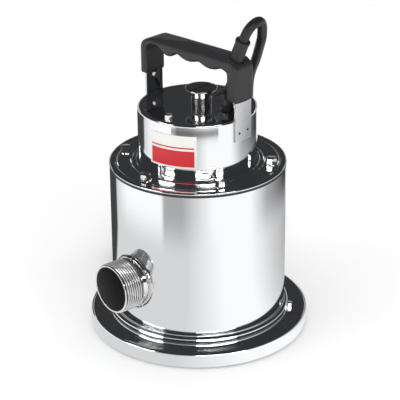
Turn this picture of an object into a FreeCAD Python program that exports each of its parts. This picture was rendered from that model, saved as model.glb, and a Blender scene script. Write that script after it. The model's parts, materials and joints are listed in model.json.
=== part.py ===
import FreeCAD, Part
import math
import os

from FreeCAD import Vector

# Submersible sump pump. Millimetres, +Z up, origin on the pump's axis at floor level.
# The handle lies in the XZ plane, with the cord's end at +X, and the outlet points near -Y.

# Running gaps and seats
SLIP = 0.2
RUNNING_FIT = 0.05
SEAT_GAP = 0.1

# How far a cutter runs past the face that it cuts, and the share of a run that a bend takes
PAST = 1.0
BEND_SHARE = 0.45

# Base and suction inlet
foot_height = 2.0
foot_radius = 6.0
foot_circle = 83.0
foot_count = 6
centre_pad_radius = 14.0
pan_radius = 93.0
pan_height = 12.4
pan_wall = 1.5
pan_edge = 3.0
pan_hole_radius = 62.0
strainer_thickness = 2.0
slot_count = 30
slot_width = 3.0
slot_inner = 34.0
slot_outer = 58.0
intake_overlap = 0.5
intake_thickness = 3.0
eye_radius = 19.0
post_radius = 5.5
post_circle = 67.0
post_count = 6
base_screw_radius = 2.5
base_screw_head_radius = 4.2
base_screw_head_height = 1.4
base_screw_depth = 1.5

# Jacket
shell_radius = 73.5
shell_wall = 1.2
shell_top = 145.6
shell_bead = 3.2
shell_bead_height = 5.0
top_ring_width = 17.5
top_ring_height = 6.0
gasket_thickness = 0.8
gasket_inset = 1.0
lid_thickness = 2.1
lid_edge = 2.0
lid_under_edge = 0.6
lid_rim_overhang = 0.4
lid_groove_inset = 5.7
lid_groove_width = 2.4
lid_groove_depth = 0.9
lid_bolt_inset = 11.5
lid_bolt_count = 6
lid_bolt_start = 30.0
lid_bolt_radius = 2.5
lid_bolt_flats = 8.0
lid_bolt_head = 4.6
lid_bolt_length = 14.0
washer_radius = 4.9
washer_thickness = 1.0

# Motor can
can_radius = 49.4
can_wall = 1.5
can_top = 196.8
can_edge = 2.4
can_flange_radius = 57.0
can_flange_thickness = 1.5

# Pump casing and impeller
casing_radius = 58.0
casing_wall = 3.0
casing_foot_radius = 61.6
casing_foot_height = 3.0
casing_top = 38.0
casing_top_thickness = 3.0
window_count = 4
window_width = 26.0
window_height = 13.0
window_sill = 1.0
casing_hole_radius = 14.0
impeller_radius = 46.0
impeller_clearance = 1.2
vane_count = 6
vane_height = 12.0
vane_thickness = 3.0
vane_root = 2.0
vane_sweep = 55.0
impeller_plate = 3.0
hub_radius = 11.0
nut_flats = 13.0
nut_height = 5.0

# Bearing housing and shaft seal
housing_wall = 4.0
housing_floor = 4.0
housing_roof = 3.5
housing_height = 26.0
seal_seat_radius = 12.4
seal_seat_height = 5.0
seal_seat_depth = 2.0
seal_seat_gap = 0.6
seal_boss = 4.0
seal_gap = 1.0
seal_ring_radius = 11.0
seal_ring_height = 4.0
oring_circle = 53.0
oring_radius = 1.4

# Bearings
lower_race_radius = 20.0
lower_bore_radius = 8.5
lower_bearing_width = 12.0
upper_race_radius = 16.0
upper_bore_radius = 6.0
upper_bearing_width = 10.0
lower_bearing_rise = 4.0
bearing_seat = 2.0
bearing_step = 3.0
race_share = 0.3
race_groove = 1.4
cage_clearance = 0.3
cage_thickness = 2.0
lower_ball_count = 8
upper_ball_count = 7

# Shaft and rotor
shaft_nut_radius = 5.0
shaft_impeller_radius = 6.0
shaft_seal_radius = 7.5
shaft_rotor_radius = 10.0
shaft_nut_overhang = 1.5
shaft_step = 1.0
key_width = 4.0
key_length = 11.0
key_rise = 2.0
air_gap = 0.5
rotor_radius = 25.0
end_ring_inner = 15.0
end_ring_outer = 23.0
end_ring_height = 4.0

# Stator
stack_bottom = 86.0
stack_share = 0.5235
stator_bore = 25.5
stator_gap = 0.15
winding_inner = 29.0
winding_outer = 43.0
winding_height = 13.0
winding_corner = 4.0
bracket_thickness = 3.0
bracket_gap = 2.0
bracket_lip = 1.0
bracket_hub_radius = 20.0
capacitor_radius = 8.0
capacitor_length = 44.0
capacitor_inset = 18.4
capacitor_strap_width = 10.0
capacitor_strap_thickness = 1.0

# Outlet
outlet_height = 58.6
outlet_angle = -96.0
outlet_length = 22.0
outlet_radius = 21.08
outlet_root_radius = 20.8
outlet_plain_length = 4.0
outlet_inside = 1.0
outlet_bore = 19.0
outlet_chamfer = 0.8
weld_radius = 24.2
weld_depth = 2.6

# Handle: the outline's heights are above the can's top
handle_width = 23.0
handle_fillet = 2.4
block_outer_x = -54.2
block_inner_x = -47.0
block_bottom = 17.0
leg_inner_x = 40.8
leg_outer_x = 51.0
leg_bottom = 14.5
handle_crown = 52.2
crown_overhang = 0.5
crown_shoulder = 47.6
crown_shoulder_radius = 5.0
crown_peak = 53.4
crown_peak_radius = 14.0
leg_wall = 1.6
leg_hollow_top = 41.0
leg_notch_height = 21.0
strap_width = 19.0
strap_inset = 1.0
strap_thickness = 1.5
strap_below_top = 18.6
strap_in_block = 15.0
strap_in_leg = 12.0
strap_step = 1.7
strap_step_height = 4.0
rivet_head_radius = 3.4
rivet_head_height = 1.3
rivet_drop = 4.0
rivet_offset = 3.0

# Strain relief and cord
cord_radius = 4.0
relief_tilt = 23.2
relief_x = 43.2
relief_outside = 16.3
relief_inside = 9.0
relief_sink = 2.4
relief_radius = 5.9
relief_tip_radius = 5.5
relief_collar_radius = 6.1
relief_collar_height = 2.4
coil_x = -126.0
coil_y = 135.0
coil_start = 43.0
coil_outer = 62.0
coil_pitch = 8.6
coil_half_turns = 9
tie_thickness = 0.7
tie_width = 11.0
tail_length = 22.0

# Plug
plug_relief_length = 20.0
plug_relief_wall = 1.2
plug_relief_flare = 3.0
plug_body_length = 36.0
plug_width = 30.0
plug_height = 27.0
plug_corner = 5.0
blade_length = 17.8
blade_width = 6.35
blade_thickness = 1.5
blade_spacing = 12.7
blade_drop = 11.9
pin_radius = 2.4
pin_length = 20.5
pin_below_centre = 6.2

# Top fittings
neck_x = 4.5
neck_radius = 8.4
neck_bore = 5.6
neck_height = 7.6
neck_hole_gap = 1.0
plug_disc_radius = 13.2
plug_disc_thickness = 2.0
plug_disc_top = 15.4
plug_shank_inset = 0.6
plug_slot_width = 1.6
plug_slot_depth = 1.1
gland_x = 34.0
gland_body_radius = 6.0
gland_flats = 18.0
gland_flange_flats = 16.0
gland_crown_inset = 1.0
gland_nut_bottom = 10.4
gland_nut_height = 8.8
gland_flange_height = 3.0
gland_engagement = 3.0
gland_inside = 5.0
lead_radius = 3.2
lead_inside = 4.0
lead_rise_low = 3.0
lead_rise_middle = 8.0
lead_rise_high = 13.4
lead_sideways = 3.4
lead_end_gap = 3.2
grommet_height = 4.0
grommet_wall = 1.2
grommet_proud = 0.4
bleed_angle = -78.0
bleed_inset = 4.8
bleed_flats = 5.6
bleed_head = 4.2
bleed_radius = 1.7
bleed_washer_radius = 3.1
bleed_washer_thickness = 1.0
bleed_length = 5.0

# Sticker
label_thickness = 0.2
label_from = -96.5
label_to = -48.0
label_below_share = 0.2029
label_height_share = 0.5797

# Sections of the plug's body, as shares of its length, width and height
plug_sections = [
    (0.0, 0.55, 0.6),
    (0.45, 0.74, 0.74),
    (0.72, 1.0, 1.0),
    (1.0, 1.0, 1.0),
]

# Side view of the grip, clockwise from the block's foot, as (x, height above the can's top, corner radius)
grip_outline = [
    (block_outer_x, block_bottom, 0.0),
    (block_outer_x, 45.0, 8.0),
    (-43.0, 49.4, 22.0),
    (0.0, handle_crown, 150.0),
    (42.5, 50.0, 12.0),
    (leg_outer_x, 44.0, 6.0),
    (leg_outer_x, leg_bottom, 0.0),
    (leg_inner_x, leg_bottom, 0.0),
    (leg_inner_x + 0.5, 38.4, 1.5),
    (35.2, 40.6, 2.5),
    (23.2, 36.2, 20.0),
    (11.2, 40.8, 2.5),
    (-2.0, 37.2, 20.0),
    (-13.2, 42.2, 2.5),
    (-23.2, 36.0, 9.0),
    (-35.0, 43.8, 5.0),
    (block_inner_x, 43.8, 6.5),
    (block_inner_x, block_bottom, 0.0),
]

# Route of the free cord's centre line, from the strain relief to the coil, chosen by hand
cord_route = [
    (52.54, 0.0, 268.4),
    (54.7, 4.8, 274.2),
    (54.8, 12.6, 275.8),
    (52.8, 19.0, 271.6),
    (48.8, 23.6, 258.6),
    (39.2, 31.8, 247.0),
    (24.8, 44.6, 229.7),
    (7.2, 57.4, 209.8),
    (-5.4, 69.4, 188.4),
    (-14.0, 80.6, 163.0),
    (-19.0, 90.0, 136.0),
    (-21.5, 97.4, 104.0),
    (-27.0, 106.8, 69.6),
    (-33.0, 117.2, 35.6),
    (-38.9, 130.0, 16.2),
    (-52.0, 146.6, 4.9),
]

# Sizes that follow from those above
pan_top = foot_height + pan_height
strainer_top = foot_height + strainer_thickness
intake_top = pan_top - pan_wall
intake_bottom = intake_top - intake_thickness
housing_bottom = casing_top
housing_top = housing_bottom + housing_height
lower_bearing_bottom = housing_top - lower_bearing_width + lower_bearing_rise
stack_height = (can_top - stack_bottom) * stack_share
stack_top = stack_bottom + stack_height
bracket_bottom = stack_top + winding_height + bracket_gap
bracket_top = bracket_bottom + bracket_thickness
upper_bearing_bottom = bracket_bottom + bracket_lip
lid_bottom = shell_top + gasket_thickness
lid_top = lid_bottom + lid_thickness
label_height = (can_top - lid_top) * label_height_share
label_top = can_top - (can_top - lid_top) * label_below_share
label_bottom = label_top - label_height
can_inner = can_radius - can_wall
can_ceiling = can_top - can_wall
shell_inner = shell_radius - shell_wall
bleed_circle = can_radius - bleed_inset
capacitor_offset = can_inner - capacitor_inset
shell_flange_inner = max(shell_radius - top_ring_width, can_radius + SLIP)
lid_groove_radius = shell_radius - lid_groove_inset
lid_bolt_circle = shell_radius - lid_bolt_inset
outlet_reach = shell_radius + outlet_length
intake_radius = shell_radius + intake_overlap
thread_start = shell_radius + outlet_plain_length
impeller_bottom = intake_top + impeller_clearance
impeller_top = impeller_bottom + vane_height + impeller_plate
capacitor_z = bracket_top + capacitor_strap_thickness + SEAT_GAP + capacitor_radius
coil_lift = plug_height / 2.0 - cord_radius - coil_pitch


def save(name, shape):
    """Write one piece, or one group of like pieces, as a STEP file."""
    shape.exportStep(os.path.join("parts", name + ".step"))


def cylinder(radius, bottom, top, x=0.0, y=0.0):
    return Part.makeCylinder(radius, top - bottom, Vector(x, y, bottom))


def ring(inner, outer, bottom, top):
    return cylinder(outer, bottom, top).cut(cylinder(inner, bottom - PAST, top + PAST))


def box(low, high):
    size = Vector(*high) - Vector(*low)
    return Part.makeBox(size.x, size.y, size.z, Vector(*low))


def hexagon(flats, bottom, top, x=0.0, y=0.0, turn=0.0):
    """Upright hexagonal prism measured across its flats."""
    reach = flats / math.sqrt(3.0)
    corners = []
    for k in range(7):
        angle = math.radians(turn + 60.0 * k)
        corners.append(Vector(x + reach * math.cos(angle), y + reach * math.sin(angle), bottom))
    face = Part.Face(Part.makePolygon(corners))
    return face.extrude(Vector(0, 0, top - bottom))


def polar(radius, angle):
    """Point on a circle about the pump's axis."""
    turn = math.radians(angle)
    return radius * math.cos(turn), radius * math.sin(turn)


def around(shape, count, start=0.0):
    """Copies of a shape, spread evenly about the pump's axis."""
    copies = []
    for k in range(count):
        copy = shape.copy()
        copy.rotate(Vector(0, 0, 0), Vector(0, 0, 1), start + 360.0 * k / count)
        copies.append(copy)
    return copies


def rounded_wire(points):
    """Closed wire through corners given as (u, v, radius), in the XZ plane."""
    edges = []
    ends = []
    count = len(points)
    for k in range(count):
        u, v, radius = points[k]
        corner = Vector(u, 0, v)
        before = Vector(points[k - 1][0], 0, points[k - 1][1])
        after = Vector(points[(k + 1) % count][0], 0, points[(k + 1) % count][1])
        if radius <= 0.0:
            ends.append((corner, corner))
            continue
        back = (before - corner).normalize()
        ahead = (after - corner).normalize()
        half = back.getAngle(ahead) / 2.0
        reach = radius / math.tan(half)
        start = corner + back * reach
        stop = corner + ahead * reach
        bisector = (back + ahead).normalize()
        middle = corner + bisector * (radius / math.sin(half) - radius)
        edges.append(Part.Arc(start, middle, stop).toShape())
        ends.append((start, stop))
    for k in range(count):
        start = ends[k][1]
        stop = ends[(k + 1) % count][0]
        if start.distanceToPoint(stop) > 1e-6:
            edges.append(Part.LineSegment(start, stop).toShape())
    return Part.Wire(Part.__sortEdges__(edges))


def turned(points):
    """Solid of revolution about Z from a profile of (radius, height, corner radius)."""
    face = Part.Face(rounded_wire(points))
    return face.revolve(Vector(0, 0, 0), Vector(0, 0, 1), 360.0)


def base_pan():
    inner = pan_radius - pan_wall
    under = pan_top - pan_wall
    return turned([
        (pan_hole_radius, under, 0.0),
        (pan_hole_radius, pan_top, 0.0),
        (pan_radius, pan_top, pan_edge),
        (pan_radius, foot_height, 0.0),
        (inner, foot_height, 0.0),
        (inner, under, pan_edge - pan_wall),
    ])


def strainer_plate():
    plate = cylinder(pan_radius - pan_wall - SLIP, foot_height, strainer_top)
    half = slot_width / 2.0
    slot = box((slot_inner + half, -half, 0.0), (slot_outer - half, half, strainer_top + PAST))
    for x in (slot_inner + half, slot_outer - half):
        slot = slot.fuse(cylinder(half, 0.0, strainer_top + PAST, x))
    tools = around(slot, slot_count)
    x, y = polar(post_circle, 0.0)
    tools += around(cylinder(base_screw_radius + SLIP, 0.0, strainer_top + PAST, x, y), post_count)
    return plate.cut(tools)


def rubber_feet():
    """Six feet around the edge and a pad under the middle."""
    foot = cylinder(foot_radius, 0.0, foot_height, foot_circle)
    pad = cylinder(centre_pad_radius, 0.0, foot_height)
    return Part.makeCompound(around(foot, foot_count, 180.0 / foot_count) + [pad])


def base_screws():
    head_bottom = foot_height - base_screw_head_height
    screw = cylinder(base_screw_head_radius, head_bottom, foot_height, post_circle)
    tip = intake_bottom + base_screw_depth
    screw = screw.fuse(cylinder(base_screw_radius, head_bottom, tip, post_circle))
    return Part.makeCompound(around(screw, post_count))


def intake_plate():
    plate = ring(eye_radius, intake_radius, intake_bottom, intake_top)
    post = cylinder(post_radius, strainer_top, intake_bottom, post_circle)
    plate = plate.fuse(around(post, post_count))
    hole = cylinder(base_screw_radius + RUNNING_FIT, 0.0, intake_bottom + base_screw_depth, post_circle)
    return plate.cut(around(hole, post_count)).removeSplitter()


def pump_casing():
    wall_inner = casing_radius - casing_wall
    foot_top = intake_top + casing_foot_height
    casing = turned([
        (wall_inner, intake_top, 0.0),
        (casing_foot_radius, intake_top, 0.0),
        (casing_foot_radius, foot_top, 0.0),
        (casing_radius, foot_top, 0.0),
        (casing_radius, casing_top, 2.0),
        (casing_hole_radius, casing_top, 0.0),
        (casing_hole_radius, casing_top - casing_top_thickness, 0.0),
        (wall_inner, casing_top - casing_top_thickness, 2.0),
    ])
    half = window_width / 2.0
    low = foot_top + window_sill
    window = box((0.0, -half, low), (casing_radius + PAST, half, low + window_height))
    return casing.cut(around(window, window_count, 45.0))


def impeller():
    plate_bottom = impeller_bottom + vane_height
    body = cylinder(impeller_radius, plate_bottom, impeller_top)
    body = body.fuse(cylinder(hub_radius, impeller_bottom, impeller_top))
    inner = hub_radius - vane_root
    outer = impeller_radius
    sweep = math.radians(vane_sweep)
    lines = []
    for offset in (-vane_thickness / 2.0, vane_thickness / 2.0):
        points = []
        for share in (0.0, 0.5, 1.0):
            radius = inner + (outer - inner) * share
            angle = -sweep * share + offset / radius
            points.append(Vector(radius * math.cos(angle), radius * math.sin(angle), impeller_bottom))
        lines.append(points)
    first = Part.Arc(*lines[0]).toShape()
    second = Part.Arc(*lines[1]).toShape()
    tip = Part.LineSegment(lines[0][2], lines[1][2]).toShape()
    root = Part.LineSegment(lines[0][0], lines[1][0]).toShape()
    vane = Part.Face(Part.Wire(Part.__sortEdges__([first, tip, second, root])))
    vane = vane.extrude(Vector(0, 0, vane_height))
    body = body.fuse(around(vane, vane_count))
    bore = cylinder(shaft_impeller_radius + RUNNING_FIT, 0.0, casing_top)
    return body.cut([bore, key_box(SEAT_GAP)]).removeSplitter()


def key_box(extra):
    """Space of the impeller's key, grown by a clearance."""
    half = key_width / 2.0 + extra
    reach = shaft_impeller_radius + key_width / 2.0 + extra
    bottom = impeller_bottom + key_rise - extra
    seat = shaft_impeller_radius - key_width / 2.0
    return box((seat, -half, bottom), (reach, half, bottom + key_length + extra))


def impeller_key():
    return key_box(0.0)


def impeller_nut():
    bottom = impeller_bottom - nut_height
    nut = hexagon(nut_flats, bottom, impeller_bottom)
    return nut.cut(cylinder(shaft_nut_radius + RUNNING_FIT, bottom - PAST, impeller_bottom + PAST))


def motor_shaft():
    nut_bottom = impeller_bottom - nut_height - shaft_nut_overhang
    impeller_end = impeller_top + shaft_step
    lower_seat = lower_bearing_bottom - SEAT_GAP
    lower_end = lower_bearing_bottom + lower_bearing_width + 2.0 * shaft_step
    rotor_end = upper_bearing_bottom - shaft_step
    shaft_end = upper_bearing_bottom + upper_bearing_width + shaft_step
    shaft = turned([
        (0.0, nut_bottom, 0.0),
        (shaft_nut_radius, nut_bottom, 1.0),
        (shaft_nut_radius, impeller_bottom, 0.0),
        (shaft_impeller_radius, impeller_bottom, 0.0),
        (shaft_impeller_radius, impeller_end, 0.0),
        (shaft_seal_radius, impeller_end, 0.0),
        (shaft_seal_radius, lower_seat, 0.0),
        (lower_bore_radius - RUNNING_FIT, lower_seat, 0.0),
        (lower_bore_radius - RUNNING_FIT, lower_end, 0.0),
        (shaft_rotor_radius, lower_end, 0.0),
        (shaft_rotor_radius, rotor_end, 0.0),
        (upper_bore_radius - RUNNING_FIT, rotor_end, 0.0),
        (upper_bore_radius - RUNNING_FIT, shaft_end, 0.8),
        (0.0, shaft_end, 0.0),
    ])
    return shaft.cut(key_box(RUNNING_FIT))


def rotor_core():
    return ring(shaft_rotor_radius, rotor_radius, stack_bottom, stack_top)


def rotor_end_rings():
    low = ring(end_ring_inner, end_ring_outer, stack_bottom - end_ring_height, stack_bottom)
    high = ring(end_ring_inner, end_ring_outer, stack_top, stack_top + end_ring_height)
    return Part.makeCompound([low, high])


def bearing_housing():
    outer = can_inner - SLIP
    cavity = outer - housing_wall
    floor_top = housing_bottom + housing_floor
    roof_bottom = housing_top - housing_roof
    bore = lower_race_radius + RUNNING_FIT
    hub = lower_race_radius + housing_wall
    hub_top = lower_bearing_bottom + lower_bearing_width
    body = turned([
        (seal_seat_radius + seal_boss, floor_top, 0.0),
        (cavity, floor_top, 2.0),
        (cavity, roof_bottom, 2.0),
        (hub, roof_bottom, 0.0),
        (hub, lower_bearing_bottom - bearing_seat, 0.0),
        (lower_race_radius - bearing_step, lower_bearing_bottom - bearing_seat, 0.0),
        (lower_race_radius - bearing_step, lower_bearing_bottom, 0.0),
        (bore, lower_bearing_bottom, 0.0),
        (bore, hub_top, 0.0),
        (hub, hub_top, 0.0),
        (hub, housing_top, 0.0),
        (outer, housing_top, 1.0),
        (outer, floor_top + can_flange_thickness, 0.0),
        (outer, floor_top, 0.0),
        (can_flange_radius, floor_top, 0.0),
        (can_flange_radius, housing_bottom, 0.0),
        (shaft_seal_radius + seal_gap, housing_bottom, 0.0),
        (shaft_seal_radius + seal_gap, floor_top - seal_seat_depth, 0.0),
        (seal_seat_radius + RUNNING_FIT, floor_top - seal_seat_depth, 0.0),
        (seal_seat_radius + RUNNING_FIT, floor_top + seal_seat_height, 0.0),
        (seal_seat_radius + seal_boss, floor_top + seal_seat_height, 1.0),
    ])
    return body.cut(oring(SEAT_GAP))


def oring(extra):
    """Housing seal, grown by a clearance for its groove."""
    centre = Vector(0, 0, housing_bottom + housing_floor - oring_radius)
    return Part.makeTorus(oring_circle, oring_radius + extra, centre)


def seal_seat():
    bottom = housing_bottom + housing_floor - seal_seat_depth
    return ring(shaft_seal_radius + seal_seat_gap, seal_seat_radius, bottom, bottom + seal_seat_height)


def seal_ring():
    bottom = housing_bottom + housing_floor - seal_seat_depth + seal_seat_height + SEAT_GAP
    return ring(shaft_seal_radius + RUNNING_FIT, seal_ring_radius, bottom, bottom + seal_ring_height)


def bearing(outer, bore, width, bottom, ball_count):
    """Outer race, inner race and ball cage of one deep-groove bearing."""
    top = bottom + width
    depth = (outer - bore) * race_share
    pitch = (outer + bore) / 2.0
    ball = (outer - bore) / 2.0 - depth + race_groove
    middle = bottom + width / 2.0
    groove = Part.makeTorus(pitch, ball + RUNNING_FIT, Vector(0, 0, middle))
    outer_race = ring(outer - depth, outer, bottom, top).cut(groove)
    inner_race = ring(bore, bore + depth, bottom, top).cut(groove)
    cage_half = (outer - bore) / 2.0 - depth - cage_clearance
    low = middle - cage_thickness / 2.0
    cage = ring(pitch - cage_half, pitch + cage_half, low, low + cage_thickness)
    balls = around(Part.makeSphere(ball, Vector(pitch, 0, middle)), ball_count)
    return outer_race, inner_race, cage.fuse(balls)


def stator_core():
    return ring(stator_bore, can_inner - stator_gap, stack_bottom, stack_top)


def winding(bottom, top):
    """Rounded ring of end turns at one end of the stack."""
    return turned([
        (winding_inner, bottom, winding_corner),
        (winding_outer, bottom, winding_corner),
        (winding_outer, top, winding_corner),
        (winding_inner, top, winding_corner),
    ])


def upper_bracket():
    outer = can_inner - SLIP
    bore = upper_race_radius + RUNNING_FIT
    hub_top = upper_bearing_bottom + upper_bearing_width
    return turned([
        (upper_race_radius - bearing_step, bracket_bottom, 0.0),
        (outer, bracket_bottom, 0.0),
        (outer, bracket_top, 0.0),
        (bracket_hub_radius, bracket_top, 0.0),
        (bracket_hub_radius, hub_top, 0.0),
        (bore, hub_top, 0.0),
        (bore, upper_bearing_bottom, 0.0),
        (upper_race_radius - bearing_step, upper_bearing_bottom, 0.0),
    ])


def capacitor():
    half = capacitor_length / 2.0
    start = Vector(-half, capacitor_offset, capacitor_z)
    return Part.makeCylinder(capacitor_radius, capacitor_length, start, Vector(1, 0, 0))


def capacitor_strap():
    """Saddle strap that holds the capacitor on the bracket."""
    half = capacitor_strap_width / 2.0
    inner = capacitor_radius + SEAT_GAP
    outer = inner + capacitor_strap_thickness
    start = Vector(-half, capacitor_offset, capacitor_z)
    strap = Part.makeCylinder(outer, capacitor_strap_width, start, Vector(1, 0, 0))
    strap = strap.fuse(box(
        (-half, capacitor_offset - outer, bracket_top),
        (half, capacitor_offset + outer, capacitor_z),
    ))
    room = Part.makeCylinder(inner, capacitor_strap_width, start, Vector(1, 0, 0))
    room = room.fuse(box(
        (-half, capacitor_offset - inner, bracket_top + capacitor_strap_thickness),
        (half, capacitor_offset + inner, capacitor_z),
    ))
    return strap.cut(room).removeSplitter()


def motor_can():
    flange_bottom = housing_bottom + housing_floor
    return turned([
        (can_flange_radius, flange_bottom, 0.0),
        (can_flange_radius, flange_bottom + can_flange_thickness, 0.0),
        (can_radius, flange_bottom + can_flange_thickness, 0.8),
        (can_radius, can_top, can_edge),
        (0.0, can_top, 0.0),
        (0.0, can_ceiling, 0.0),
        (can_inner, can_ceiling, can_edge - can_wall),
        (can_inner, flange_bottom, 0.0),
    ]).cut([
        cylinder(neck_bore + neck_hole_gap, can_ceiling - PAST, can_top + PAST, neck_x),
        cylinder(gland_body_radius + RUNNING_FIT, can_ceiling - PAST, can_top + PAST, gland_x),
        cylinder(bleed_radius + RUNNING_FIT, can_ceiling - PAST, can_top + PAST, *polar(bleed_circle, bleed_angle)),
    ])


def outlet_frame(shape):
    """Turn a shape built along +X to the outlet's direction and height."""
    shape.rotate(Vector(0, 0, 0), Vector(0, 0, 1), outlet_angle)
    shape.translate(Vector(0, 0, outlet_height))
    return shape


def outlet_cylinder(radius, start, stop):
    return outlet_frame(Part.makeCylinder(radius, stop - start, Vector(start, 0, 0), Vector(1, 0, 0)))


def outer_shell():
    bead_outer = shell_radius + shell_bead
    shell = turned([
        (shell_inner, pan_top, 0.0),
        (bead_outer, pan_top, 1.4),
        (bead_outer, pan_top + shell_bead_height, 1.8),
        (shell_radius, pan_top + shell_bead_height, 0.6),
        (shell_radius, shell_top, 0.0),
        (shell_inner, shell_top, 0.0),
    ])
    return shell.cut(outlet_cylinder(outlet_root_radius + RUNNING_FIT, shell_inner / 2.0, outlet_reach))


def discharge_nipple():
    """Outlet pipe: a plain root, the thread's outside, and an inner end cut to the jacket's curve."""
    along = Vector(1, 0, 0)
    thread = Part.makeCylinder(outlet_radius, outlet_reach - thread_start, Vector(thread_start, 0, 0), along)
    rim = [edge for edge in thread.Edges if abs(edge.CenterOfMass.x - outlet_reach) < 1e-6]
    thread = thread.makeChamfer(outlet_chamfer, rim)
    pipe = thread.fuse(Part.makeCylinder(outlet_root_radius, thread_start, Vector(0, 0, 0), along))
    pipe = pipe.cut(Part.makeCylinder(outlet_bore, outlet_reach + PAST, Vector(0, 0, 0), along))
    pipe = outlet_frame(pipe)
    return pipe.cut(cylinder(shell_inner - outlet_inside, 0.0, can_top))


def nipple_weld():
    """Weld bead where the outlet meets the jacket."""
    bead = outlet_cylinder(weld_radius, shell_radius / 2.0, shell_radius + weld_depth)
    bead = bead.cut(outlet_cylinder(outlet_root_radius + RUNNING_FIT, 0.0, outlet_reach))
    shape = bead.common(cylinder(shell_radius + weld_depth, 0.0, can_top))
    return shape.cut(cylinder(shell_radius + RUNNING_FIT, 0.0, can_top))


def shell_top_ring():
    ring_bottom = shell_top - top_ring_height
    body = ring(shell_flange_inner, shell_inner - RUNNING_FIT, ring_bottom, shell_top)
    hole = cylinder(lid_bolt_radius + RUNNING_FIT, ring_bottom - PAST, shell_top + PAST, lid_bolt_circle)
    return body.cut(around(hole, lid_bolt_count, lid_bolt_start))


def lid_gasket():
    body = ring(shell_flange_inner, shell_radius - gasket_inset, shell_top, lid_bottom)
    hole = cylinder(lid_bolt_radius + SLIP, shell_top - PAST, lid_bottom + PAST, lid_bolt_circle)
    return body.cut(around(hole, lid_bolt_count, lid_bolt_start))


def shoulder_lid():
    rim = shell_radius + lid_rim_overhang
    groove_half = lid_groove_width / 2.0
    lid = turned([
        (can_radius + SLIP, lid_bottom, 0.0),
        (rim, lid_bottom, lid_under_edge),
        (rim, lid_top, lid_edge - lid_under_edge),
        (lid_groove_radius + groove_half, lid_top, 0.5),
        (lid_groove_radius, lid_top - lid_groove_depth, 0.9),
        (lid_groove_radius - groove_half, lid_top, 0.5),
        (can_radius + SLIP, lid_top, 0.0),
    ])
    hole = cylinder(lid_bolt_radius + SLIP, lid_bottom - PAST, lid_top + PAST, lid_bolt_circle)
    return lid.cut(around(hole, lid_bolt_count, lid_bolt_start))


def lid_bolts():
    seat = lid_top + washer_thickness
    head = hexagon(lid_bolt_flats, seat, seat + lid_bolt_head, lid_bolt_circle)
    tip = seat + lid_bolt_head - lid_bolt_length
    shank = cylinder(lid_bolt_radius, tip, seat + lid_bolt_head / 2.0, lid_bolt_circle)
    return Part.makeCompound(around(head.fuse(shank), lid_bolt_count, lid_bolt_start))


def lid_washers():
    washer = cylinder(washer_radius, lid_top, lid_top + washer_thickness, lid_bolt_circle)
    top = lid_top + washer_thickness + PAST
    washer = washer.cut(cylinder(lid_bolt_radius + RUNNING_FIT, lid_top - PAST, top, lid_bolt_circle))
    return Part.makeCompound(around(washer, lid_bolt_count, lid_bolt_start))


def filler_neck():
    return cylinder(neck_radius, can_top, can_top + neck_height, neck_x).cut(
        cylinder(neck_bore, can_top - PAST, can_top + neck_height + PAST, neck_x))


def filler_plug():
    top = can_top + plug_disc_top
    under = top - plug_disc_thickness
    seat = can_top + neck_height
    plug = turned([
        (0.0, can_top, 0.0),
        (neck_bore - RUNNING_FIT, can_top, 0.5),
        (neck_bore - RUNNING_FIT, seat, 0.0),
        (neck_radius - plug_shank_inset, seat, 0.4),
        (neck_radius - plug_shank_inset, under, 0.6),
        (plug_disc_radius, under, 0.5),
        (plug_disc_radius, top, 0.7),
        (0.0, top, 0.0),
    ])
    half = plug_slot_width / 2.0
    reach = plug_disc_radius + PAST
    slot = box((-half, -reach, top - plug_slot_depth), (half, reach, top + PAST))
    plug = plug.cut(slot)
    plug.translate(Vector(neck_x, 0, 0))
    return plug


def gland_body():
    inside = can_ceiling - gland_inside
    top = can_top + gland_nut_bottom + gland_engagement
    body = cylinder(gland_body_radius, inside, top, gland_x)
    body = body.fuse(hexagon(gland_flange_flats, can_top, can_top + gland_flange_height, gland_x))
    return body.cut(cylinder(lead_radius + SLIP, inside - PAST, top + PAST, gland_x)).removeSplitter()


def gland_nut():
    bottom = can_top + gland_nut_bottom
    top = bottom + gland_nut_height
    nut = hexagon(gland_flats, bottom, top, gland_x)
    dome = turned([
        (0.0, bottom, 0.0),
        (gland_flats / math.sqrt(3.0), bottom, 0.6),
        (gland_flats / math.sqrt(3.0), bottom + gland_nut_height / 2.0, 0.0),
        (gland_flats / 2.0 - gland_crown_inset, top, 1.4),
        (0.0, top, 0.0),
    ])
    dome.translate(Vector(gland_x, 0, 0))
    nut = nut.common(dome)
    seat = bottom + gland_engagement + RUNNING_FIT
    nut = nut.cut(cylinder(gland_body_radius + RUNNING_FIT, bottom - PAST, seat, gland_x))
    return nut.cut(cylinder(lead_radius + grommet_wall, bottom, top + PAST, gland_x))


def gland_grommet():
    top = can_top + gland_nut_bottom + gland_nut_height
    radius = lead_radius + grommet_wall - RUNNING_FIT
    body = cylinder(radius, top - grommet_height, top + grommet_proud, gland_x)
    return body.cut(cylinder(lead_radius + RUNNING_FIT, top - grommet_height - PAST, top + PAST, gland_x))


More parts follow.
